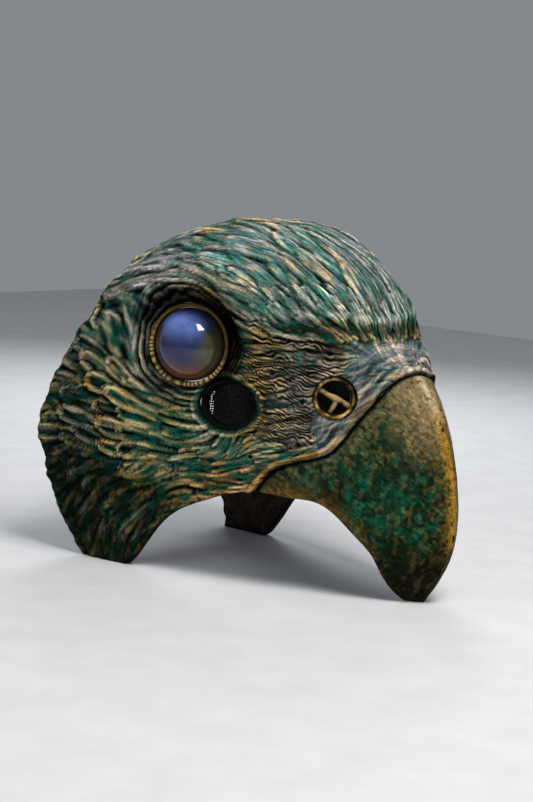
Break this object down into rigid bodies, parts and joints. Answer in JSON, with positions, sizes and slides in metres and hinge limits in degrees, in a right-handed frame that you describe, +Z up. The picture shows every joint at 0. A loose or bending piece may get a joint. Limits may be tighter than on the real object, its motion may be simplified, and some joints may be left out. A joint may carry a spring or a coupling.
{
  "type": "bird of prey half mask",
  "caption": "Wearable half mask of a bird of prey's head: feathered shell, hooked beak, dome eyes, mesh vision ports and an elastic head strap.",
  "frame": {"origin": "bottom centre of the bounding box, on the surface the mask stands on", "axes": "+Z up; the beak points along -Y; +X to the bird's left"},
  "size_m": [0.1934, 0.2849, 0.2383],
  "materials": {
    "shell_paint": "satin hand-painted resin, dark green recesses with dry-brushed teal, cream and gold",
    "beak_paint": "satin mottled dark green with bronze and gold",
    "gilt": "gold-brushed resin with dark recesses",
    "dome": "clear polished acrylic",
    "iris_paint": "pearly hand-painted disc",
    "mesh": "black fine woven mesh",
    "black_plastic": "matt black",
    "leather": "dark brown oiled leather",
    "pad_fabric": "charcoal brushed knit over foam",
    "webbing": "black ribbed elastic",
    "steel": "dull nickel"
  },
  "bodies": {
    "mask": {"head_shell": "shell_paint", "beak": "beak_paint", "seam_backing_strip": "leather", "eye_dome_right": "dome", "eye_dome_left": "dome", "iris_disc_right": "iris_paint", "iris_disc_left": "iris_paint", "eyelid_ring_right": "gilt", "eyelid_ring_left": "gilt", "port_frame_right": "black_plastic", "port_frame_left": "black_plastic", "vision_mesh_right": "mesh", "vision_mesh_left": "mesh", "nostril_ring_right": "gilt", "nostril_ring_left": "gilt", "nostril_bar_right": "gilt", "nostril_bar_left": "gilt", "nostril_backing_right": "black_plastic", "nostril_backing_left": "black_plastic", "forehead_pad": "pad_fabric", "crown_pad": "pad_fabric", "temple_pad_right": "pad_fabric", "temple_pad_left": "pad_fabric", "cheek_pad_right": "pad_fabric", "cheek_pad_left": "pad_fabric", "strap_post_right": "steel", "strap_post_left": "steel"},
    "strap": {"strap_tab_right": "leather", "strap_tab_left": "leather", "strap_band": "webbing"},
    "slider": {"strap_slider": "black_plastic"}
  },
  "joints": [
    {"name": "strap_swing", "type": "hinge", "parent": "mask", "child": "strap", "pos_m": [0, 0.1085, 0.118], "axis": [1, 0, 0], "range_deg": [-12, 100]},
    {"name": "slider_slide", "type": "slide", "parent": "strap", "child": "slider", "axis": [1, 0, 0], "range_m": [-0.06, 0.024]}
  ]
}
